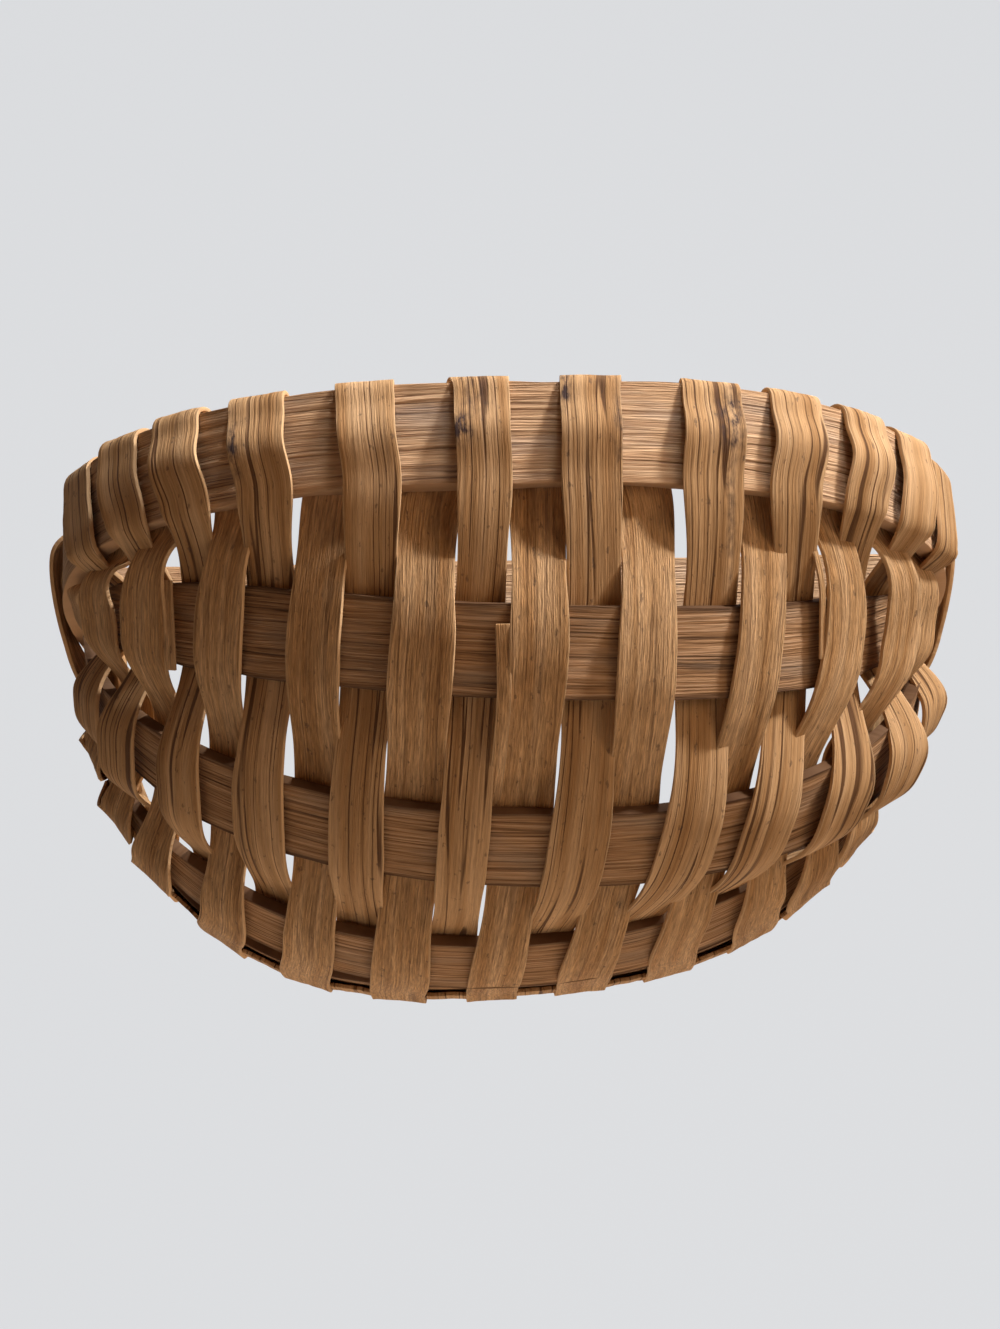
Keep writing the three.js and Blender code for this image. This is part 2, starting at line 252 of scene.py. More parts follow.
def lay_split(name, middle, out, side, low_edge, high_edge, columns, thickness, relief, round_edge, offset,
              stains=(), torn=None):
    """A split of oak: a flat grid laid along its path, torn on its face, thickened, with eased edges.

    Its map holds millimetres along and across the grain, and its attributes the distance from the
    nearest edge, the depth of its stains and how torn its outer face is.
    """
    rows = len(middle)
    bpy.ops.object.select_all(action="DESELECT")
    bpy.ops.mesh.primitive_grid_add(x_subdivisions=rows - 1, y_subdivisions=columns, size=2)
    piece = bpy.context.object
    piece.name = name
    mesh = piece.data
    mesh.name = name
    flat = np.empty(len(mesh.vertices) * 3)
    mesh.vertices.foreach_get("co", flat)
    flat = flat.reshape(-1, 3)
    row = np.rint((flat[:, 0] + 1) / 2 * (rows - 1)).astype(int)
    share = (flat[:, 1] + 1) / 2
    steps = np.linalg.norm(np.diff(middle, axis=0), axis=1)
    run = np.concatenate([[0], np.cumsum(steps)])[row]
    across = low_edge[row] + (high_edge[row] - low_edge[row]) * share
    lift = relief(run, across)
    laid = middle[row] + side[row] * across[:, None] + out[row] * lift[:, None]
    mesh.vertices.foreach_set("co", (laid * mm).ravel())
    corner = np.empty(len(mesh.loops), int)
    mesh.loops.foreach_get("vertex_index", corner)
    grain_map = mesh.uv_layers[0]
    grain_map.name = "grain"
    places = np.stack([run + offset[0], across + offset[1]], 1)
    grain_map.data.foreach_set("uv", places[corner].ravel())
    from_edge = np.minimum(across - low_edge[row], high_edge[row] - across)
    mesh.attributes.new("edge", "FLOAT", "POINT").data.foreach_set("value", from_edge)
    depth = np.zeros(len(run))
    for stain_run, stain_across, length, breadth, strength in stains:
        spread = ((run - stain_run) / length) ** 2 + ((across - stain_across) / breadth) ** 2
        depth = np.maximum(depth, strength * np.exp(-spread))
    mesh.attributes.new("stain", "FLOAT", "POINT").data.foreach_set("value", depth)
    if torn is not None:
        mesh.attributes.new("torn", "FLOAT", "POINT").data.foreach_set("value", torn[row])
    wall = piece.modifiers.new("wall", "SOLIDIFY")
    wall.thickness = thickness * mm
    wall.offset = 0
    easing = piece.modifiers.new("easing", "BEVEL")
    easing.width = round_edge * mm
    easing.segments = 2
    easing.limit_method = "ANGLE"
    easing.angle_limit = math.radians(50)
    for modifier in ("wall", "easing"):
        bpy.ops.object.modifier_apply(modifier=modifier)
    bpy.ops.object.shade_smooth_by_angle(angle=math.radians(45))
    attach(piece, "root")
    return piece


def torn_relief(height, seed):
    """The face of a riven stave: long wavy ridges about a millimetre apart, and torn ledges."""
    def relief(run, across):
        waver = 0.5 * wood_noise(run / 30, across / 6, seed)
        ridge = wood_noise(run / 40, (across + waver) / 0.9, seed + 1)
        fine = wood_noise(run / 9, (across + waver) / 0.55, seed + 2)
        ledge = np.tanh(6 * wood_noise(run / 46, (across + waver) / 2.2, seed + 3))
        return height * (ridge + 0.7 * fine + 0.5 * ledge)
    return relief


def bound_edges(run, low, high, sway, seed):
    """Hand-cut edges that wander a little on either side of straight."""
    def wander(edge, long_swell, short_swell, edge_seed):
        slow = sway * wood_noise(run / long_swell, run * 0, edge_seed)
        quick = 0.4 * sway * wood_noise(run / short_swell, run * 0, edge_seed + 1)
        return edge + slow + quick

    return wander(low, 17, 5, seed), wander(high, 19, 6, seed + 2)


def riven_oak(name, pale, mid, dark, crack, weather, edge_tone):
    """Riven white oak, unfinished: long torn grain lines, dark in the cracks, with greyed patches.

    The grain lines are about 0.4 mm apart and tens of millimetres long.
    """
    oak = bpy.data.materials.new(name)
    oak.use_nodes = True
    surface = oak.node_tree.nodes["Principled BSDF"]
    grain = add_node(oak, "ShaderNodeUVMap", {"uv_map": "grain"})
    waver_place = add_node(oak, "ShaderNodeMapping", None, {
        "Vector": grain.outputs[0], "Scale": (1 / 30, 1 / 8, 1)})
    waver = add_node(oak, "ShaderNodeTexNoise", {"noise_dimensions": "2D"}, {
        "Vector": waver_place.outputs[0], "Scale": 1, "Detail": 2})
    bent = add_node(oak, "ShaderNodeVectorMath", {"operation": "MULTIPLY_ADD"}, {
        0: waver.outputs["Color"], 1: (0, 0.9, 0), 2: grain.outputs[0]})
    line_place = add_node(oak, "ShaderNodeMapping", None, {
        "Vector": bent.outputs[0], "Scale": (1 / 36, 1 / 0.42, 1)})
    lines = add_node(oak, "ShaderNodeTexNoise", {"noise_dimensions": "2D"}, {
        "Vector": line_place.outputs[0], "Scale": 1, "Detail": 4, "Roughness": 0.6})
    hair_place = add_node(oak, "ShaderNodeMapping", None, {
        "Vector": bent.outputs[0], "Scale": (1 / 6, 1 / 0.3, 1)})
    hair = add_node(oak, "ShaderNodeTexNoise", {"noise_dimensions": "2D"}, {
        "Vector": hair_place.outputs[0], "Scale": 1, "Detail": 2})
    tones = add_node(oak, "ShaderNodeValToRGB", None, {"Fac": lines.outputs["Fac"]})
    ramp = tones.color_ramp
    ramp.elements[0].position = 0.32
    ramp.elements[0].color = linear(crack)
    ramp.elements[1].position = 0.66
    ramp.elements[1].color = linear(pale)
    ramp.elements.new(0.4).color = linear(dark)
    ramp.elements.new(0.5).color = linear(mid)
    hair_shade = add_node(oak, "ShaderNodeMapRange", None, {
        "Value": hair.outputs["Fac"], "From Min": 0.3, "From Max": 0.7, "To Min": 0.82, "To Max": 1.14})
    haired = add_node(oak, "ShaderNodeMix", {"data_type": "RGBA", "blend_type": "MULTIPLY"}, {
        "Factor": 1.0, 6: tones.outputs["Color"], 7: hair_shade.outputs[0]})
    patch_place = add_node(oak, "ShaderNodeMapping", None, {
        "Vector": grain.outputs[0], "Scale": (1 / 24, 1 / 6, 1)})
    patch = add_node(oak, "ShaderNodeTexNoise", {"noise_dimensions": "2D"}, {
        "Vector": patch_place.outputs[0], "Scale": 1, "Detail": 3})
    patch_share = add_node(oak, "ShaderNodeMapRange", None, {
        "Value": patch.outputs["Fac"], "From Min": 0.5, "From Max": 0.75, "To Min": 0.0, "To Max": 0.45})
    weathered = add_node(oak, "ShaderNodeMix", {"data_type": "RGBA"}, {
        "Factor": patch_share.outputs[0], 6: haired.outputs[2], 7: linear(weather)})
    # Near its edges the wood takes the edge tone: pale edge wear on the rim and rail, and painted shade on
    # the ribs and hoop.
    edge = add_node(oak, "ShaderNodeAttribute", {"attribute_name": "edge"})
    edge_share = add_node(oak, "ShaderNodeMapRange", None, {
        "Value": edge.outputs["Fac"], "From Min": 0.1, "From Max": 1.0, "To Min": 0.8, "To Max": 0.0})
    edge_wear_and_shade = add_node(oak, "ShaderNodeMix", {"data_type": "RGBA"}, {
        "Factor": edge_share.outputs[0], 6: weathered.outputs[2], 7: linear(edge_tone)})
    stain = add_node(oak, "ShaderNodeAttribute", {"attribute_name": "stain"})
    stained = add_node(oak, "ShaderNodeMix", {"data_type": "RGBA"}, {
        "Factor": stain.outputs["Fac"], 6: edge_wear_and_shade.outputs[2], 7: linear("4a4a50")})
    height = add_node(oak, "ShaderNodeMath", {"operation": "MULTIPLY_ADD"}, {
        0: hair.outputs["Fac"], 1: 0.35, 2: lines.outputs["Fac"]})
    bump = add_node(oak, "ShaderNodeBump", None, {
        "Height": height.outputs[0], "Strength": 0.9, "Distance": 0.0006})
    oak.node_tree.links.new(stained.outputs[2], surface.inputs["Base Color"])
    oak.node_tree.links.new(bump.outputs[0], surface.inputs["Normal"])
    surface.inputs["Roughness"].default_value = 0.8
    surface.inputs["Specular IOR Level"].default_value = 0.1
    return oak


rim = bend_stave(
    rim_half_width, rim_reach - fit, tilt=0, squareness=rim_squareness, ear=(0, -fit, 0))
rim_run = np.arange(-rim["half"], rim["half"], stave_step)
rim_middle, rim_out = on_stave(rim, rim_run)[:2]
rim_side = np.tile(rim["across"], (len(rim_run), 1)) + rim_out * math.tan(rim_flare)
rim_low, rim_high = bound_edges(rim_run, -rim_height / 2, rim_height / 2, sway=0.22, seed=11)
rim_oak = riven_oak(
    "riven_rim_oak", pale="d4ae88", mid="c69e77", dark="b38b67", crack="7d5d42", weather="a69688",
    edge_tone="c49a72")
# Each stain is given as its place along and across the rim, its length, its breadth and its depth.
rim_stains = ((rim["half"] + 71, -1, 5, 6, 0.55), (rim["half"] - 77, -2, 5, 7, 0.55))
rim_bow = lay_split(
    "rim_band", rim_middle, rim_out, rim_side, rim_low, rim_high, columns=40, thickness=rim_thickness,
    relief=torn_relief(height=0.065, seed=21), round_edge=0.7, offset=(0, 0), stains=rim_stains)
rim_bow.data.materials.append(rim_oak)
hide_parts("rim_bow")

# Back rail
# A straight oak stave across the open back, flat against the wall. It is riven like the rim and its
# ends butt against the rim bow's ends inside.
rail_thickness = 3
rail_height = 16
rail_eased = 0.2
rail_step = 1.2
rail_half = rim_half_width - rim_thickness / 2 - fit
rail_run = np.arange(-rail_half, rail_half + 0.1, rail_step)
rail_middle = np.outer(rail_run, [1.0, 0.0, 0.0]) + [0, -rail_thickness / 2, 0]
rail_out = np.tile([0.0, -1.0, 0.0], (len(rail_run), 1))
rail_side = np.tile([0.0, 0.0, 1.0], (len(rail_run), 1))
rail_low, rail_high = bound_edges(rail_run, -rail_height / 2, rail_height / 2, sway=0.18, seed=31)
back_rail = lay_split(
    "back_stave", rail_middle, rail_out, rail_side, rail_low, rail_high, columns=30,
    thickness=rail_thickness - rail_eased, relief=torn_relief(height=0.05, seed=41), round_edge=0.6,
    offset=(400, 40))
back_rail.data.materials.append(rim_oak)
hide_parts("back_rail")

# Back hoop
# A narrow oak hoop bent into a U, which edges the open back. Its upright ends stand inside the rim
# bow's ends, in front of the rail, and the splints turn around it.
hoop_depth = 74
hoop_width = 10
hoop_thickness = 2.5
hoop_squareness = 2.6
hoop_rise = 1.7
hoop_middle_y = -rail_thickness - fit - hoop_width / 2
rim_at_hoop = on_stave(rim, rim["half"] - rail_thickness - hoop_width - fit)[0][0, 0]
hoop_half_width = rim_at_hoop - rim_thickness / 2 - fit - hoop_thickness / 2
hoop = bend_stave(
    hoop_half_width, hoop_depth + rim_height / 2, tilt=90, squareness=hoop_squareness,
    ear=(0, hoop_middle_y, rim_height / 2), rise=hoop_rise)
hoop_run = np.arange(-hoop["half"], hoop["half"], stave_step)
hoop_middle, hoop_out = on_stave(hoop, hoop_run)[:2]
hoop_side = np.tile(hoop["across"], (len(hoop_run), 1))
hoop_low, hoop_high = bound_edges(hoop_run, -hoop_width / 2, hoop_width / 2, sway=0.2, seed=51)
# The dark edge tone here is painted shade along the edges of the ribs and the back hoop, where the splints
# shade them.
rib_oak = riven_oak(
    "riven_rib_oak", pale="c09873", mid="a98059", dark="8f6947", crack="5f432c", weather="96836f",
    edge_tone="4a3120")
back_hoop = lay_split(
    "back_hoop_bow", hoop_middle, hoop_out, hoop_side, hoop_low, hoop_high, columns=20,
    thickness=hoop_thickness, relief=torn_relief(height=0.07, seed=61), round_edge=0.6,
    offset=(800, 80))
back_hoop.data.materials.append(rib_oak)
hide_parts("back_hoop")

# Ribs
# Three flat ribs of riven oak, which fan out from the two ears and give the basket its belly. They
# are shaved to points at their ends, which are tucked between the splints.
rib_width = 14
rib_thickness = 2
rib_inset = 3
rib_half_width = rim_half_width - rib_inset
rib_shift = -1.5
rib_tip_width = 4
rib_tip = {"upper_rib": 12, "middle_rib": 15, "lower_rib": 22}
rib_taper = 70
rib_taper_curve = 0.7
ear_depth = 5.7
rib_bends = {
    "upper_rib": {"tilt": 23, "reach": 84.1, "squareness": 1.98, "ear": 0, "lean": 0.9, "rise": -2.6},
    "middle_rib": {"tilt": 46, "reach": 81.3, "squareness": 2.3, "ear": -0.5, "lean": 4.1, "rise": -1.4},
    "lower_rib": {"tilt": 67, "reach": 75.2, "squareness": 2.16, "ear": -4.5, "lean": 0.6, "rise": 0.8},
}
staves = {"rim": rim, "hoop": hoop}
stave_width = {"rim": rim_height, "hoop": hoop_width}
stave_thickness = {"rim": rim_thickness, "hoop": hoop_thickness}
for number, (rib_name, bend) in enumerate(rib_bends.items()):
    rib = bend_stave(
        rib_half_width, bend["reach"], bend["tilt"], bend["squareness"],
        ear=(rib_shift, -ear_depth, bend["ear"]), lean=bend["lean"], rise=bend["rise"])
    staves[rib_name] = rib
    stave_width[rib_name] = rib_width
    stave_thickness[rib_name] = rib_thickness
    rib_end = rib["half"] - rib_tip[rib_name]
    rib_run = np.arange(-rib_end, rib_end, stave_step)
    rib_middle, rib_out = on_stave(rib, rib_run)[:2]
    rib_side = np.tile(rib["across"], (len(rib_run), 1))
    rib_share = np.clip((rib_end - np.abs(rib_run)) / (rib_taper - rib_tip[rib_name]), 0, 1)
    rib_half = (rib_tip_width + (rib_width - rib_tip_width) * rib_share ** rib_taper_curve) / 2
    rib_low, rib_high = bound_edges(rib_run, -rib_half, rib_half, sway=0.25, seed=71 + 10 * number)
    piece = lay_split(
        f"{rib_name}_bow", rib_middle, rib_out, rib_side, rib_low, rib_high, columns=34,
        thickness=rib_thickness, relief=torn_relief(height=0.065, seed=101 + 10 * number),
        round_edge=0.5, offset=(1200 + 400 * number, 120 + 40 * number))
    piece.data.materials.append(rib_oak)
    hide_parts(rib_name)

# Weaver splints
# Thin oak splints, split along the growth rings, that stand upright and pass over and under the
# ribs. Each turns over the rim from the outside to the inside, and its ends turn around the hoop.
splint_thickness = 0.7
splint_slack = 0.25
splint_step = 0.7
splint_round = 0.1
splint_sway = 0.16
face_change = 6
# How far a splint bows out from the staves that it crosses, and the passes from which that eases off.
outer_bow = 0.4
outer_bow_step = 0.42
eased_bow = 0.55
eased_bow_from = 10
no_bow_from = 12
inner_bow = 0.5
rim_bow_out = 1.8
rim_bow_height = -0.5
rim_bow_least = 0.15
rim_bow_end = 11
rim_bow_fade = 4
# How a splint turns over the rim, leans along it, turns to the front near the ears and narrows.
turn_rise = 1.4
turn_start = 1.6
turn_drift = 0.8
left_lean = 0.17
right_lean = 0.08
front_turn = 0.09
front_from = 4
front_most = 0.38
front_fade = 3
waist_least = 0.1
waist_step = 0.05
waist_most = 0.36
front_share = {"rim": 0.5, "upper_rib": 0.85, "middle_rib": 0.7, "lower_rib": 0.3, "hoop": 0}
# How much sooner a splint swings below the rim, and how long it lies flat on a rib.
rim_lead = 1.6
rim_lead_fade = 3
hold_share = 0.2
hold_most = 0.13
# How a splint ends at the hoop.
hoop_tail = 2
hoop_slack = 0.5
hoop_turn_rise = 1.0
# Where the passes cross each stave. They are numbered from the middle, with minus at the left, and
# stand at an even pitch that is drawn in near the ears, with a nudge where the hand strayed.
pairs_per_side = 6
ear_pass = 2.5
ear_margin = 29
draw_in = 6.8
pass_centre = {"rim": 4.3, "upper_rib": 4.0, "middle_rib": -0.6, "lower_rib": -1.5, "hoop": -2.5}
left_pitch = {"rim": 8.0, "upper_rib": 8.4, "middle_rib": 8.4, "lower_rib": 7.8, "hoop": 8.2}
right_pitch = {"rim": 8.1, "upper_rib": 8.8, "middle_rib": 8.4, "lower_rib": 7.6, "hoop": 8.0}
pass_nudge = {
    "rim": {-11: 4.0, -9: 3.2, -5: -2.0, -3: -1.2, 3: 2.3, 4: 3.5, 6: 1.0, 7: -2.3, 9: -4.6, 11: -4},
    "upper_rib": {
        -11: 1, -10: 1, -8: 1, -7: -1.5, -5: -2.4, -3: -1.3, -1: -0.8, 2: -1.3, 3: 2.0, 5: 2.5, 7: 1.0,
        8: -1.5, 9: -3, 10: -5, 11: -4, 12: -3},
    "middle_rib": {
        -11: 1.5, -10: 2, -9: 2.3, -7: 1.7, -6: -1.0, -3: -0.4, -2: -1.0, -1: -0.6, 3: 0.4, 4: -1.3,
        5: -3.5, 6: -5, 7: -5.8, 8: -7, 9: -7.5, 10: -7, 11: -5, 12: -3},
    "lower_rib": {-10: 2.5, -7: 0.5, 6: -0.6, 7: -2.7, 8: -5.5, 9: -8, 10: -8, 11: -6, 12: -4},
    "hoop": {7: -2, 8: -4, 9: -5, 10: -5, 11: -3, 12: -1},
}
pass_width = {
    -9: 8.8, -8: 9.4, -7: 8.8, -6: 9.2, -5: 9.5, -4: 9.1, -3: 9.0, -2: 9.9, -1: 8.2, 0: 9.0,
    1: 9.2, 2: 9.4, 3: 9.7, 4: 8.9, 5: 9.2, 6: 9.2, 7: 9.0, 8: 8.8,
}
side_width = 8.6


def free_half(key):
    """Half a stave's length, for the hoop without the ends that stand inside the rim."""
    return staves[key]["half"] - (rim_height if key == "hoop" else 0)


def pass_place(key, number):
    """Where a pass crosses a stave, from the stave's middle."""
    pitch = left_pitch[key] if number < 0 else right_pitch[key]
    share = number / (2 * pairs_per_side + ear_pass)
    end = (free_half(key) - ear_margin) * share
    drawn = abs(share) ** draw_in
    even = pass_centre[key] + pitch * number
    return even * (1 - drawn) + end * drawn + pass_nudge[key].get(number, 0)


def off_stave(key):
    """How far a splint's middle lies from the middle of a stave that it crosses."""
    return stave_thickness[key] / 2 + fit + splint_slack + splint_thickness / 2


def stave_station(key, place, height=0.0):
    """A point of a stave, raised from its middle line, with its outward and lengthwise directions."""
    middle, out, along = on_stave(staves[key], place)
    return middle[0] + staves[key]["across"] * height, out[0], along[0]


def curve_through(points):
    """A smooth curve through points: its own points, and how many spans along it each of them lies."""
    cuts = 24
    steps = np.linalg.norm(np.diff(points, axis=0), axis=1)
    knots = np.concatenate([[0], np.cumsum(np.sqrt(steps))])
    padded = np.vstack([2 * points[0] - points[1], points, 2 * points[-1] - points[-2]])
    ends = np.concatenate([[2 * knots[0] - knots[1]], knots, [2 * knots[-1] - knots[-2]]])
    curve = []
    spans = []
    for span in range(len(points) - 1):
        p0, p1, p2, p3 = padded[span:span + 4]
        t0, t1, t2, t3 = ends[span:span + 4]
        share = np.linspace(0, 1, cuts, endpoint=span == len(points) - 2)
        t = t1 + (t2 - t1) * share[:, None]
        a1 = (t1 - t) / (t1 - t0) * p0 + (t - t0) / (t1 - t0) * p1
        a2 = (t2 - t) / (t2 - t1) * p1 + (t - t1) / (t2 - t1) * p2
        a3 = (t3 - t) / (t3 - t2) * p2 + (t - t2) / (t3 - t2) * p3
        b1 = (t2 - t) / (t2 - t0) * a1 + (t - t0) / (t2 - t0) * a2
        b2 = (t3 - t) / (t3 - t1) * a2 + (t - t1) / (t3 - t1) * a3
        curve.append((t2 - t) / (t2 - t1) * b1 + (t - t1) / (t2 - t1) * b2)
        spans.append(span + share)
    return np.vstack(curve), np.concatenate(spans)


def faced(key, number, out, along):
    """A splint's side vector on a stave, turned to the front near the ears, and how far it tips off."""
    share = front_share[key] * min(front_turn * max(abs(number) - front_from, 0), front_most)
    share *= min((2 * pairs_per_side + 1 - abs(number)) / front_fade, 1)
    side = np.array([-share, 0, 0]) - along * (1 - share)
    side /= np.linalg.norm(side, axis=-1, keepdims=True)
    return side, side_width / 2 * np.abs(np.sum(side * out, axis=-1))


def weave(stations, number):
    """A splint's path past staves, given in order as stave, place, height and stand-off.

    It follows the shell in one smooth curve, lies flat on each stave and swings to the other side
    between them, soonest below the rim. Its side vectors are shorter where it swings, because it is
    narrower there, between its neighbours.
    """
    found = [stave_station(key, place, height) for key, place, height, stand in stations]
    crossed = np.array([point for point, out, along in found])
    curve, spans = curve_through(crossed)
    before = np.minimum(spans.astype(int), len(stations) - 2)
    share = (spans - before)[:, None]
    keys = [station[0] for station in stations]
    next_to = list(zip(keys, keys[1:]))
    from_rim = np.array([pair == ("rim", "upper_rib") for pair in next_to])[before][:, None]
    to_rim = np.array([pair == ("upper_rib", "rim") for pair in next_to])[before][:, None]
    gaps = np.linalg.norm(np.diff(crossed, axis=0), axis=1)
    plain = np.array([first == second or "rim" in (first, second) for first, second in next_to])
    hold = np.where(plain, 0, np.minimum(hold_share * rib_width / gaps, hold_most))[before][:, None]
    held = np.clip((share - hold) / (1 - 2 * hold), 0, 1)
    lead = 1 + (rim_lead - 1) * min(max(abs(number) - front_from, 0) / rim_lead_fade, 1)
    led = np.where(from_rim, held ** (1 / lead), np.where(to_rim, 1 - (1 - held) ** (1 / lead), held))
    waist = min(waist_least + waist_step * max(abs(number) - front_from, 0), waist_most)
    swing = (1 - np.cos(math.pi * led)) / 2
    outs = np.array([out for point, out, along in found])
    turned = [faced(key, number, out, along) for key, (point, out, along) in zip(keys, found)]
    sides = np.array([side for side, tip in turned])
    given = [station[3] for station in stations]
    stands = np.array([
        [stand + math.copysign(tip, stand)] for stand, (side, tip) in zip(given, turned)])
    out = outs[before] * (1 - share) + outs[before + 1] * share
    out /= np.linalg.norm(out, axis=1)[:, None]
    stand = stands[before] * (1 - swing) + stands[before + 1] * swing
    side = sides[before] * (1 - share) + sides[before + 1] * share
    side /= np.linalg.norm(side, axis=1)[:, None]
    crossing = stands[before] * stands[before + 1] < 0
    return curve + out * stand, side * (1 - waist * crossing * np.sin(math.pi * led) ** 2)


def turn_edge(key, from_place, to_place, edge, rise, number, slack=0.0):
    """A splint that turns around a stave's edge, from its outside, perhaps slack there, to its inside."""
    turns = np.linspace(0, math.pi, 25)
    middle, out, along = on_stave(staves[key], from_place + (to_place - from_place) * turns / math.pi)
    start = turn_start if key == "rim" else 0
    height = edge * (stave_width[key] / 2 - start + (rise + start) * np.sin(turns))
    points = middle + staves[key]["across"] * height[:, None]
    side, tip = faced(key, number, out, along)
    stand = (off_stave(key) + tip + slack * (np.cos(turns) > 0)) * np.cos(turns)
    return points + out * stand[:, None], side


def hoop_end(place, side):
    """A splint's end, which lies flat on the hoop from its wall edge."""
    half = hoop_width / 2
    heights = np.linspace(-half, hoop_tail, 8)
    stations = [stave_station("hoop", place, height) for height in heights]
    points = np.array([point + out * side * off_stave("hoop") for point, out, along in stations])
    return points, -np.array([along for point, out, along in stations])


def bow_of(number):
    """How far a pass bows out from a rib that it goes over: more at the sides, and less near the ears."""
    if abs(number) >= no_bow_from:
        return outer_bow
    steps = min(max(abs(number) - front_from, 0), front_from)
    ease = 1 if abs(number) < eased_bow_from else eased_bow
    return outer_bow + outer_bow_step * steps * ease


def outer_pass(number):
    """Up from under the hoop, inside the lower rib, over the middle one, inside the upper, to the rim."""
    at = {key: pass_place(key, number) for key in staves}
    lean = number * (left_lean if number < 0 else right_lean)
    off = off_stave("rim")
    rib_off = off_stave("upper_rib")
    rim_share = min(max((rim_bow_end - abs(number)) / rim_bow_fade, rim_bow_least), 1)
    end_points, end_sides = hoop_end(at["hoop"], 1)
    turned = turn_edge("hoop", at["hoop"], at["hoop"], -1, hoop_turn_rise, number)
    risen = weave([
        ("hoop", at["hoop"], -hoop_width / 2, -off_stave("hoop")),
        ("hoop", at["hoop"], hoop_width / 2, -off_stave("hoop")),
        ("lower_rib", at["lower_rib"], 0, -rib_off - inner_bow),
        ("middle_rib", at["middle_rib"], 0, rib_off + bow_of(number)),
        ("upper_rib", at["upper_rib"], 0, -rib_off - inner_bow),
        ("rim", at["rim"] - lean, -rim_height / 2, off),
        ("rim", at["rim"], rim_bow_height, off + rim_bow_out * rim_share),
        ("rim", at["rim"] + lean, rim_height / 2 - turn_start, off),
    ], number)
    return [(end_points[::-1], end_sides[::-1]), turned, risen], at["rim"] + lean


def inner_pass(number, rim_from):
    """Down inside the rim, over the upper rib, inside the middle one, over the lower, to the hoop."""
    at = {key: pass_place(key, number) for key in staves}
    off = off_stave("rim")
    rib_off = off_stave("upper_rib")
    bow = bow_of(number)
    fallen = weave([
        ("rim", rim_from, rim_height / 2 - turn_start, -off),
        ("rim", at["rim"], -rim_height / 2, -off),
        ("upper_rib", at["upper_rib"], 0, rib_off + bow),
        ("middle_rib", at["middle_rib"], 0, -rib_off - inner_bow),
        ("lower_rib", at["lower_rib"], 0, rib_off + bow),
        ("hoop", at["hoop"], hoop_width / 2, off_stave("hoop") + hoop_slack / 2),
        ("hoop", at["hoop"], -hoop_width / 2, off_stave("hoop") + hoop_slack),
    ], number)
    turned = turn_edge("hoop", at["hoop"], at["hoop"], -1, hoop_turn_rise, number, hoop_slack)
    return [fallen, turned, hoop_end(at["hoop"], -1)]


def even_path(points, sides, spacing):
    """A path cut at even spacing and softened: its middle line, faces, sides and share of its width."""
    run = np.concatenate([[0], np.cumsum(np.linalg.norm(np.diff(points, axis=0), axis=1))])
    cuts = np.linspace(0, run[-1], int(run[-1] / spacing) + 1)
    kernel = np.array([1, 2, 3, 2, 1]) / 9

    def soften(values):
        rows = between(cuts, run, values)
        full = np.vstack([2 * rows[:1] - rows[2:0:-1], rows, 2 * rows[-1:] - rows[-2:-4:-1]])
        return np.stack([np.convolve(full[:, axis], kernel, "valid") for axis in range(3)], 1)

    middle = soften(points)
    side = soften(sides)
    fullness = np.linalg.norm(side, axis=1)
    along = np.gradient(middle, axis=0)
    along /= np.linalg.norm(along, axis=1)[:, None]
    side -= along * np.sum(side * along, axis=1)[:, None]
    side /= np.linalg.norm(side, axis=1)[:, None]
    return middle, np.cross(along, side), side, fullness


def splint_relief(seed):
    """A splint's face: nearly flat, with faint growth-ring ridges along it and a slow wave."""
    def relief(run, across):
        cup = -0.004 * across ** 2
        ridge = wood_noise(run / 60, across / 1.3, seed)
        fine = 0.5 * wood_noise(run / 18, across / 0.7, seed + 1)
        wave = 0.14 * wood_noise(run / 14, across / 9, seed + 2)
        return cup + 0.06 * (ridge + fine) + wave
    return relief


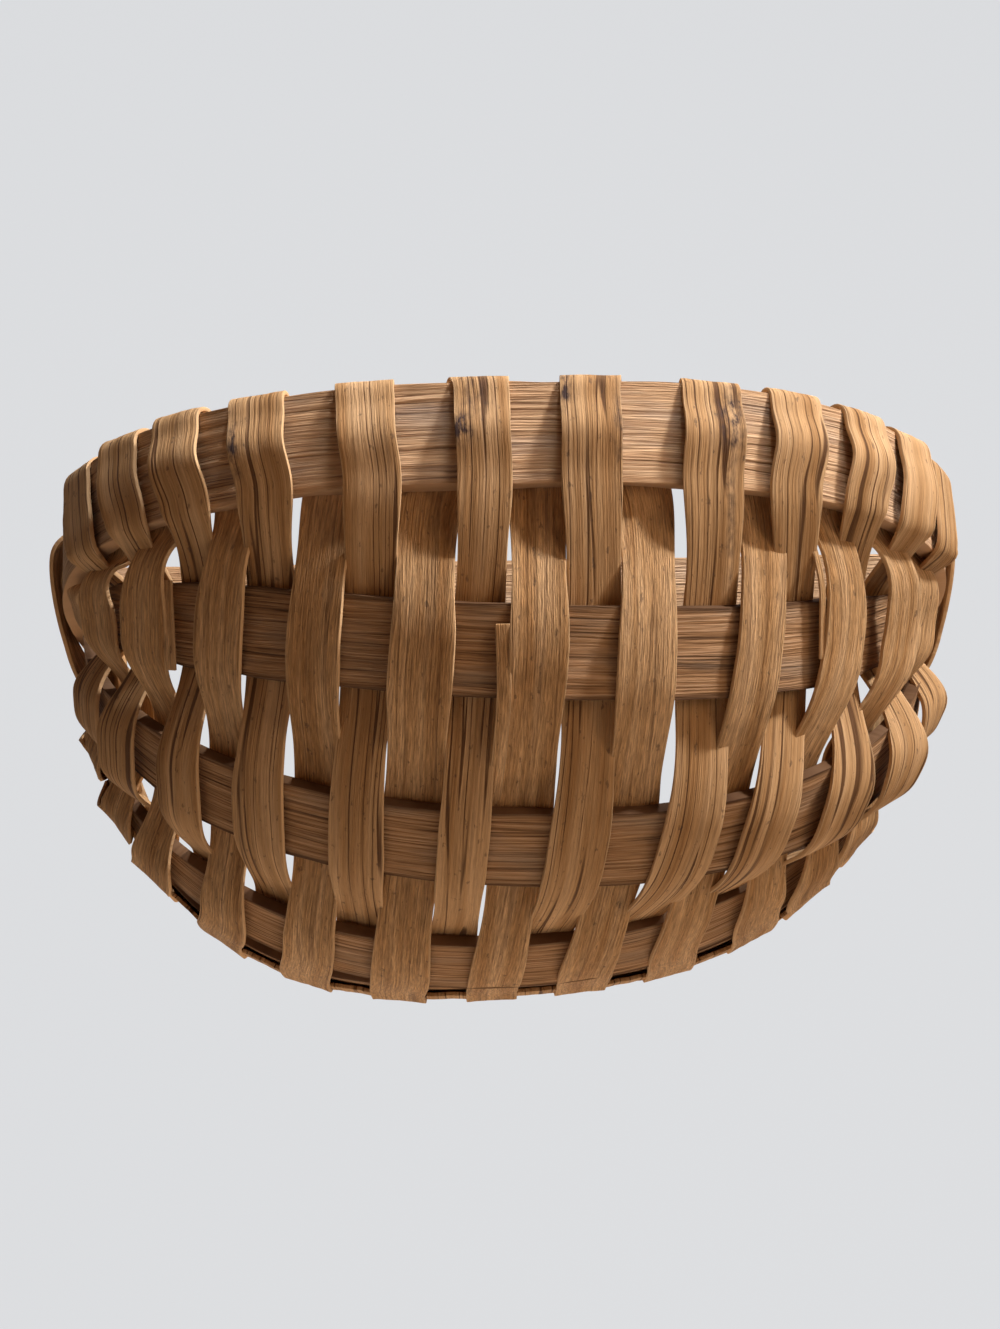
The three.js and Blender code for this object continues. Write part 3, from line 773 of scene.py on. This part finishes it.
def split_oak(name, pale, mid, dark, ring, edge_tone):
    """White oak splint, unfinished: fibre lines, dark growth-ring streaks, pale edges and torn flecks.

    Fibres are about 0.4 mm apart, ring streaks 1 to 3 mm apart, and flecks are dashes 2 to 4 mm long.
    The face that was torn off the log is rougher and more flecked than the other.
    """
    oak = bpy.data.materials.new(name)
    oak.use_nodes = True
    surface = oak.node_tree.nodes["Principled BSDF"]
    grain = add_node(oak, "ShaderNodeUVMap", {"uv_map": "grain"})
    torn = add_node(oak, "ShaderNodeAttribute", {"attribute_name": "torn"})
    waver_place = add_node(oak, "ShaderNodeMapping", None, {
        "Vector": grain.outputs[0], "Scale": (1 / 30, 1 / 12, 1)})
    waver = add_node(oak, "ShaderNodeTexNoise", {"noise_dimensions": "2D"}, {
        "Vector": waver_place.outputs[0], "Scale": 1, "Detail": 1})
    bent = add_node(oak, "ShaderNodeVectorMath", {"operation": "MULTIPLY_ADD"}, {
        0: waver.outputs["Color"], 1: (0, 0.9, 0), 2: grain.outputs[0]})
    broad_place = add_node(oak, "ShaderNodeMapping", None, {
        "Vector": bent.outputs[0], "Scale": (1 / 60, 1 / 2.6, 1)})
    broad = add_node(oak, "ShaderNodeTexNoise", {"noise_dimensions": "2D"}, {
        "Vector": broad_place.outputs[0], "Scale": 1, "Detail": 3})
    tones = add_node(oak, "ShaderNodeValToRGB", None, {"Fac": broad.outputs["Fac"]})
    ramp = tones.color_ramp
    ramp.elements[0].position = 0.32
    ramp.elements[0].color = linear(dark)
    ramp.elements[1].position = 0.68
    ramp.elements[1].color = linear(pale)
    ramp.elements.new(0.5).color = linear(mid)
    fibre_place = add_node(oak, "ShaderNodeMapping", None, {
        "Vector": bent.outputs[0], "Scale": (1 / 28, 1 / 0.38, 1)})
    fibre = add_node(oak, "ShaderNodeTexNoise", {"noise_dimensions": "2D"}, {
        "Vector": fibre_place.outputs[0], "Scale": 1, "Detail": 4, "Roughness": 0.65})
    fibre_shade = add_node(oak, "ShaderNodeMapRange", None, {
        "Value": fibre.outputs["Fac"], "From Min": 0.32, "From Max": 0.68, "To Min": 0.84, "To Max": 1.15})
    fibred = add_node(oak, "ShaderNodeMix", {"data_type": "RGBA", "blend_type": "MULTIPLY"}, {
        "Factor": 1.0, 6: tones.outputs["Color"], 7: fibre_shade.outputs[0]})
    ring_place = add_node(oak, "ShaderNodeMapping", None, {
        "Vector": bent.outputs[0], "Scale": (1 / 220, 1 / 3.4, 1)})
    ring_swell = add_node(oak, "ShaderNodeTexNoise", {"noise_dimensions": "2D"}, {
        "Vector": ring_place.outputs[0], "Scale": 1, "Detail": 1})
    ring_count = add_node(oak, "ShaderNodeMath", {"operation": "MULTIPLY"}, {
        0: ring_swell.outputs["Fac"], 1: 5.5})
    ring_phase = add_node(oak, "ShaderNodeMath", {"operation": "PINGPONG"}, {
        0: ring_count.outputs[0], 1: 0.5})
    ring_line = add_node(oak, "ShaderNodeMapRange", {"interpolation_type": "SMOOTHSTEP"}, {
        "Value": ring_phase.outputs[0], "From Min": 0.045, "From Max": 0.11, "To Min": 0.95, "To Max": 0.0})
    fade_place = add_node(oak, "ShaderNodeMapping", None, {
        "Vector": grain.outputs[0], "Scale": (1 / 40, 1 / 1.4, 1)})
    fade = add_node(oak, "ShaderNodeTexNoise", {"noise_dimensions": "2D"}, {
        "Vector": fade_place.outputs[0], "Scale": 1, "Detail": 3})
    fade_share = add_node(oak, "ShaderNodeMapRange", None, {
        "Value": fade.outputs["Fac"], "From Min": 0.36, "From Max": 0.52, "To Min": 0.15, "To Max": 1.0})
    ring_depth = add_node(oak, "ShaderNodeMapRange", None, {
        "Value": torn.outputs["Fac"], "To Min": 1.0, "To Max": 0.4})
    ring_faded = add_node(oak, "ShaderNodeMath", {"operation": "MULTIPLY"}, {
        0: ring_line.outputs[0], 1: fade_share.outputs[0]})
    ring_share = add_node(oak, "ShaderNodeMath", {"operation": "MULTIPLY"}, {
        0: ring_faded.outputs[0], 1: ring_depth.outputs[0]})
    ringed = add_node(oak, "ShaderNodeMix", {"data_type": "RGBA"}, {
        "Factor": ring_share.outputs[0], 6: fibred.outputs[2], 7: linear(ring)})
    fleck_place = add_node(oak, "ShaderNodeMapping", None, {
        "Vector": grain.outputs[0], "Scale": (1 / 3.2, 1 / 0.26, 1)})
    fleck = add_node(oak, "ShaderNodeTexNoise", {"noise_dimensions": "2D"}, {
        "Vector": fleck_place.outputs[0], "Scale": 1, "Detail": 3, "Roughness": 0.6})
    fleck_shade = add_node(oak, "ShaderNodeMapRange", None, {
        "Value": fleck.outputs["Fac"], "From Min": 0.32, "From Max": 0.68, "To Min": 0.78, "To Max": 1.36})
    fleck_share = add_node(oak, "ShaderNodeMapRange", None, {
        "Value": torn.outputs["Fac"], "To Min": 0.3, "To Max": 1.0})
    flecked = add_node(oak, "ShaderNodeMix", {"data_type": "RGBA", "blend_type": "MULTIPLY"}, {
        "Factor": fleck_share.outputs[0], 6: ringed.outputs[2], 7: fleck_shade.outputs[0]})
    speck_place = add_node(oak, "ShaderNodeMapping", None, {
        "Vector": grain.outputs[0], "Scale": (1 / 2.4, 1 / 1.1, 1)})
    speck = add_node(oak, "ShaderNodeTexNoise", {"noise_dimensions": "2D"}, {
        "Vector": speck_place.outputs[0], "Scale": 1, "Detail": 3, "Roughness": 0.6})
    speck_share = add_node(oak, "ShaderNodeMapRange", None, {
        "Value": speck.outputs["Fac"], "From Min": 0.66, "From Max": 0.74, "To Min": 0.0, "To Max": 0.55})
    specked = add_node(oak, "ShaderNodeMix", {"data_type": "RGBA"}, {
        "Factor": speck_share.outputs[0], 6: flecked.outputs[2], 7: linear("4a3a32")})
    # The pale edge tone is a painted highlight along the splints' edges, standing in for their lit edges.
    edge = add_node(oak, "ShaderNodeAttribute", {"attribute_name": "edge"})
    edge_share = add_node(oak, "ShaderNodeMapRange", None, {
        "Value": edge.outputs["Fac"], "From Min": 0.0, "From Max": 0.3, "To Min": 0.8, "To Max": 0.0})
    edge_highlighted = add_node(oak, "ShaderNodeMix", {"data_type": "RGBA"}, {
        "Factor": edge_share.outputs[0], 6: specked.outputs[2], 7: linear(edge_tone)})
    stain = add_node(oak, "ShaderNodeAttribute", {"attribute_name": "stain"})
    stain_broken = add_node(oak, "ShaderNodeMath", {"operation": "MULTIPLY_ADD"}, {
        0: speck.outputs["Fac"], 1: 6.0, 2: -3.0})
    stain_share = add_node(oak, "ShaderNodeMath", {"operation": "MULTIPLY_ADD", "use_clamp": True}, {
        0: stain_broken.outputs[0], 1: stain.outputs["Fac"], 2: stain.outputs["Fac"]})
    stained = add_node(oak, "ShaderNodeMix", {"data_type": "RGBA"}, {
        "Factor": stain_share.outputs[0], 6: edge_highlighted.outputs[2], 7: linear("402f2b")})
    ridge = add_node(oak, "ShaderNodeMath", {"operation": "MULTIPLY_ADD"}, {
        0: ring_share.outputs[0], 1: -0.5, 2: fibre.outputs["Fac"]})
    rough = add_node(oak, "ShaderNodeMath", {"operation": "MULTIPLY"}, {
        0: fleck.outputs["Fac"], 1: fleck_share.outputs[0]})
    height = add_node(oak, "ShaderNodeMath", {"operation": "ADD"}, {
        0: rough.outputs[0], 1: ridge.outputs[0]})
    bump = add_node(oak, "ShaderNodeBump", None, {
        "Height": height.outputs[0], "Strength": 0.8, "Distance": 0.0004})
    oak.node_tree.links.new(stained.outputs[2], surface.inputs["Base Color"])
    oak.node_tree.links.new(bump.outputs[0], surface.inputs["Normal"])
    surface.inputs["Roughness"].default_value = 0.7
    surface.inputs["Specular IOR Level"].default_value = 0.1
    return oak


splint_oak = split_oak(
    "split_splint_oak", pale="c59d72", mid="b58c60", dark="a4794d", ring="5a3b22", edge_tone="cfa97d")


def lay_splint(name, node, points, sides, width_from, width_to, number, stains=()):
    """A splint laid along its path, with wandering edges, standing for its CAD node.

    Its two halves differ in width, and its second half shows the torn face. Stains are placed from
    the rim's top edge, down the outside.
    """
    middle, face, side, fullness = even_path(points, sides, splint_step)
    length = np.linalg.norm(np.diff(middle, axis=0), axis=1).sum()
    run = np.linspace(0, length, len(middle))
    top = run[np.argmax(middle[:, 2])]
    second = np.clip((run - top) / face_change + 0.5, 0, 1)
    width = (width_from + (width_to - width_from) * second) * fullness
    low, high = bound_edges(run, -width / 2, width / 2, splint_sway, seed=300 + 7 * number)
    laid_stains = [
        (top - below, across, along, wide, depth) for below, across, along, wide, depth in stains]
    piece = lay_split(
        name, middle, face, side, low, high, columns=12, thickness=splint_thickness,
        relief=splint_relief(seed=500 + 5 * number), round_edge=splint_round,
        offset=(3000 + 300 * number, 300 + 30 * number), stains=laid_stains, torn=second)
    piece.data.materials.append(splint_oak)
    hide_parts(node)


# Each stain is given as its place below the rim's top and across, its length, its breadth and its depth.
splint_stains = {
    "left_splint_3": ((10.5, 3.7, 5, 1.2, 0.6),),
    "left_splint_1": ((11, 3.4, 2.5, 1.5, 0.9), (6, 1.5, 5, 2.6, 0.3)),
    "right_splint_1": ((4, 4, 4, 1.2, 0.6), (12, -4.2, 9, 0.8, 0.45)),
    "right_splint_2": ((9, -2.6, 6, 2.2, 0.6), (22, -2.5, 14, 0.8, 0.4)),
}
middle_path = inner_pass(0, pass_place("rim", 0))
middle_points = np.vstack([points for points, sides in middle_path])
middle_sides = np.vstack([sides for points, sides in middle_path])
lay_splint(
    "middle_splint", "middle_weaver", middle_points, middle_sides, pass_width[0], pass_width[0], number=0)
for side_name, hand in (("left", -1), ("right", 1)):
    for pair in range(1, pairs_per_side + 1):
        outer = hand * (2 * pair - 1)
        inner = hand * 2 * pair
        path, turn_from = outer_pass(outer)
        turn_to = turn_from + hand * turn_drift
        path.append(turn_edge("rim", turn_from, turn_to, 1, turn_rise, outer))
        path.extend(inner_pass(inner, turn_to))
        splint_name = f"{side_name}_splint_{pair}"
        lay_splint(
            splint_name, f"{side_name}_weaver_{pair}", np.vstack([points for points, sides in path]),
            np.vstack([sides for points, sides in path]), pass_width.get(outer, side_width),
            pass_width.get(inner, side_width), 10 * hand + pair + 20, splint_stains.get(splint_name, ()))

# Lapped ends
# Where a splint was too short, a second one is lapped on, and a strip of the lapped length shows beside
# it at the upper rib: in the middle, at the left, and at the right, where it hangs from the rim.
lap_thickness = 0.5
lap_sway = 0.1
lap_off = off_stave("upper_rib")
middle_lap_off = lap_off + 0.2
middle_lap_top = 4.2
left_lap_off = lap_off + 0.9
left_lap_top = rib_width / 2 + 0.4
right_lap_off = lap_off + 0.7
right_lap_end = -2


def lay_lap(name, number, aside, width, stations):
    """The strip of a lapped splint that shows aside of a numbered pass, by stave, height and stand-off."""
    placed = [(key, pass_place(key, number) + aside, height, stand) for key, height, stand in stations]
    middle, face, side = even_path(*weave(placed, number), splint_step)[:3]
    run = np.linspace(0, 1, len(middle))
    low, high = bound_edges(run, -width / 2, width / 2, lap_sway, seed=900 + number)
    piece = lay_split(
        name, middle, face, side, low, high, columns=4, thickness=lap_thickness,
        relief=splint_relief(seed=950 + number), round_edge=splint_round,
        offset=(9000 + 300 * number, 900 + 30 * number), torn=np.ones(len(middle)))
    piece.data.materials.append(splint_oak)


lay_lap("middle_splint_lap", number=0, aside=-5.1, width=2.2, stations=[
    ("upper_rib", middle_lap_top, middle_lap_off),
    ("upper_rib", -rib_width / 2, middle_lap_off),
    ("middle_rib", 0, -lap_off - inner_bow),
    ("middle_rib", -rib_width / 2, -lap_off - inner_bow),
])
lay_lap("left_splint_lap", number=-8, aside=4.9, width=1.8, stations=[
    ("upper_rib", left_lap_top, left_lap_off),
    ("upper_rib", 0, left_lap_off),
    ("upper_rib", -rib_width / 2, left_lap_off),
])
lay_lap("right_splint_lap", number=6, aside=-4.8, width=1.1, stations=[
    ("rim", -rim_height / 2, -off_stave("rim")),
    ("upper_rib", rib_width / 2, right_lap_off),
    ("upper_rib", right_lap_end, right_lap_off),
])

# Ear lashings
# A narrower splint drawn slantwise around the rim's end and the hoop at each ear, and lapped inside.
# It holds the rim, the hoop and the rib tips together.
lashing_width = 7
lashing_reach = 18
lashing_slope = 1.6
lashing_lean = 0.3
lashing_start = 0.6
lashing_end = 0.5
for side_name, hand in (("left", -1), ("right", 1)):
    gap = fit + splint_thickness / 2
    top = rim_height / 2
    wall_edge = hoop_middle_y + hoop_width / 2
    front_edge = hoop_middle_y - hoop_width / 2 - gap
    rim_outside = rim_half_width + rim_thickness / 2 + 2 * gap

    def hoop_x(height):
        return on_stave(hoop, hoop["half"] - rim_height / 2 + height)[0][0, 0]

    def hoop_inside(height):
        return hoop_x(height - lashing_width / 2) - hoop_thickness / 2 - gap - fit

    def slant(depth):
        return top - (depth + lashing_reach) * lashing_slope

    def lash_point(x, y, z, out_x, out_y, out_z):
        return np.array([hand * x, y, z]), np.array([hand * out_x, out_y, out_z], float)

    def lash_inside(share):
        depth = wall_edge + (front_edge - wall_edge) * share
        return lash_point(hoop_inside(slant(depth)), depth, slant(depth), -1, 0, 0)

    turn_height = slant(wall_edge)
    path = [
        lash_inside(lashing_start),
        lash_inside(1),
        lash_point(hoop_inside(top), -lashing_reach, top, -1, 0, lashing_lean),
        lash_point(rim_half_width - rim_thickness / 2, -lashing_reach - gap, top + 2 * gap, 0, 0, 1),
        lash_point(rim_outside, -lashing_reach, top, 1, 0, lashing_lean),
        lash_point(rim_outside, rim_height / lashing_slope - lashing_reach, -top, 1, 0, 0),
        lash_point(hoop_x(turn_height) + hoop_thickness + gap, wall_edge, turn_height, 1, lashing_lean, 0),
        lash_point(hoop_x(turn_height), wall_edge + 2 * gap, turn_height, 0, 1, 0),
        lash_point(hoop_inside(turn_height), wall_edge, turn_height, -1, lashing_lean, 0),
        lash_inside(lashing_end),
    ]
    lash_points = np.array([point for point, face in path])
    lash_sides = np.cross(np.array([face for point, face in path]), np.gradient(lash_points, axis=0))
    lash_sides /= np.linalg.norm(lash_sides, axis=1)[:, None]
    lash_curve, lash_spans = curve_through(lash_points)
    lash_sides = between(lash_spans, np.arange(len(lash_points)), lash_sides)
    lay_splint(
        f"{side_name}_lashing_splint", f"{side_name}_ear_lashing", lash_curve, lash_sides,
        lashing_width, lashing_width, 50 + hand)
